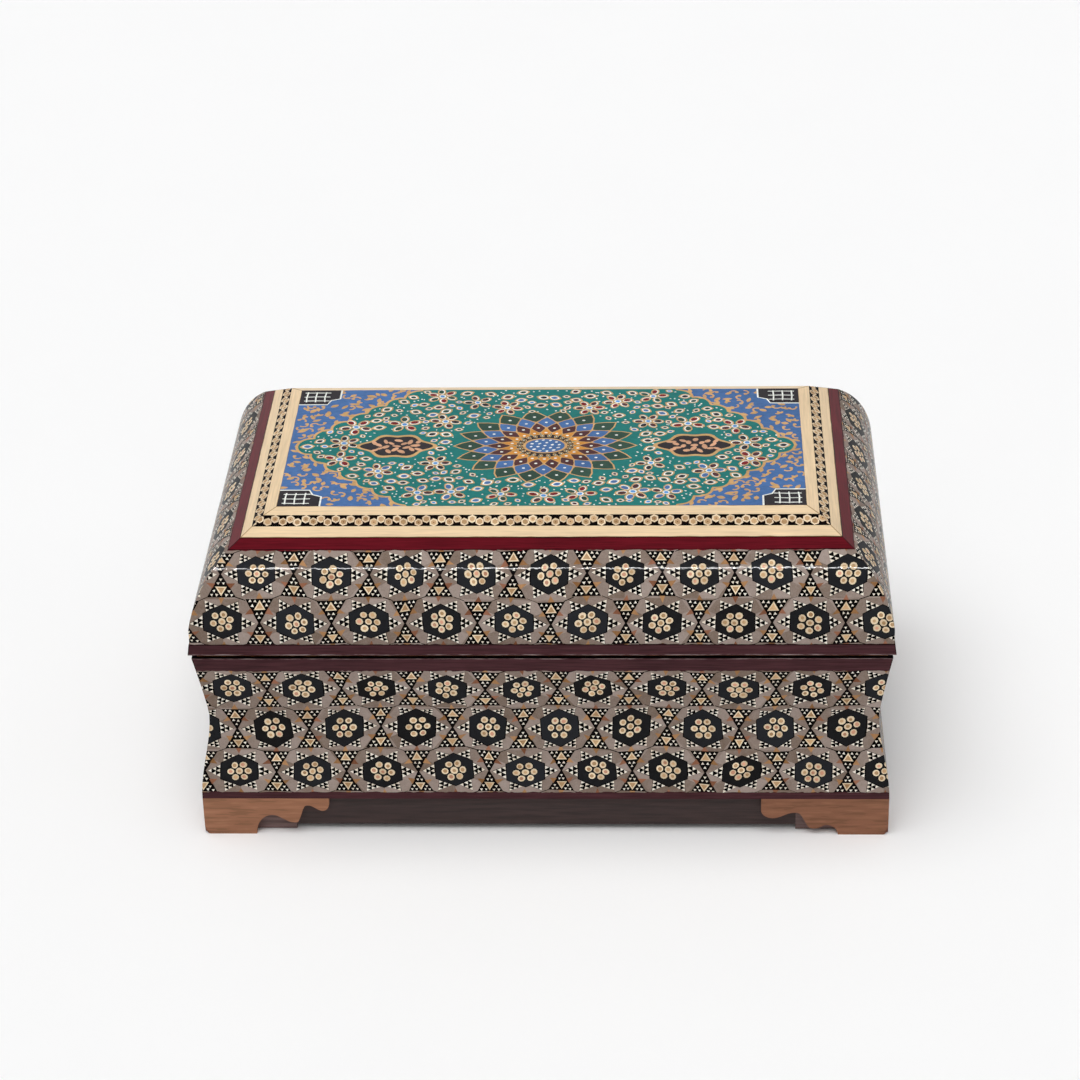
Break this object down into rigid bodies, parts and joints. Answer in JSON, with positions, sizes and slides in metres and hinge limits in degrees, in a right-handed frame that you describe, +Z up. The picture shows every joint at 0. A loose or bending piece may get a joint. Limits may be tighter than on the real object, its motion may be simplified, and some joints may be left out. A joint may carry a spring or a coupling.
{
  "type": "inlaid wooden box",
  "caption": "Rectangular keepsake box of inlaid wood: a waisted base on scrolled bracket feet and a hinged, swelling lid with a painted panel framed in bone, red and inlaid strips.",
  "frame": {"origin": "on the table, under the middle of the whole box, hinge barrels included", "axes": "+X to the right along the width, +Y to the back where the hinges are, +Z up"},
  "size_m": [0.19, 0.1196, 0.0912],
  "materials": {
    "core_wood": "satin",
    "khatam": "gloss lacquer over inlay",
    "red_band": "gloss lacquer",
    "brown_band": "gloss lacquer",
    "bone": "gloss lacquer",
    "painted_panel": "paint under gloss lacquer",
    "foot_wood": "oiled",
    "block_wood": "satin",
    "dark_wood": "satin",
    "velvet": "velvet",
    "brass": "satin"
  },
  "bodies": {
    "base": {"base_wall_right": "core_wood", "base_wall_back": "core_wood", "base_wall_left": "core_wood", "base_wall_front": "core_wood", "base_floor": "core_wood", "base_khatam_right": "khatam", "base_khatam_back": "khatam", "base_khatam_left": "khatam", "base_khatam_front": "khatam", "base_upper_band": "brown_band", "base_lower_band": "brown_band", "foot_front_left": "foot_wood", "foot_front_right": "foot_wood", "foot_back_left": "foot_wood", "foot_back_right": "foot_wood", "foot_block_front_left": "block_wood", "foot_block_front_right": "block_wood", "foot_block_back_left": "block_wood", "foot_block_back_right": "block_wood", "rail_right": "dark_wood", "rail_back": "dark_wood", "rail_left": "dark_wood", "rail_front": "dark_wood", "base_floor_lining": "velvet", "base_side_lining": "velvet", "hinge_left_base_leaf": "brass", "hinge_left_pin": "brass", "hinge_right_base_leaf": "brass", "hinge_right_pin": "brass", "base_hinge_screws": "brass"},
    "lid": {"lid_moulding_right": "core_wood", "lid_moulding_back": "core_wood", "lid_moulding_left": "core_wood", "lid_moulding_front": "core_wood", "lid_top_board": "core_wood", "painted_panel": "painted_panel", "inner_bone_border": "bone", "inlay_border": "khatam", "outer_bone_border": "bone", "red_border": "red_band", "lid_khatam_right": "khatam", "lid_khatam_back": "khatam", "lid_khatam_left": "khatam", "lid_khatam_front": "khatam", "lid_rim_band": "brown_band", "lid_top_lining": "velvet", "lid_side_lining": "velvet", "hinge_left_lid_leaf": "brass", "hinge_right_lid_leaf": "brass", "lid_hinge_screws": "brass"}
  },
  "joints": [
    {"name": "lid_hinge", "type": "hinge", "parent": "base", "child": "lid", "pos_m": [0, 0.0581, 0.05775], "axis": [-1, 0, 0], "range_deg": [0, 100]}
  ]
}
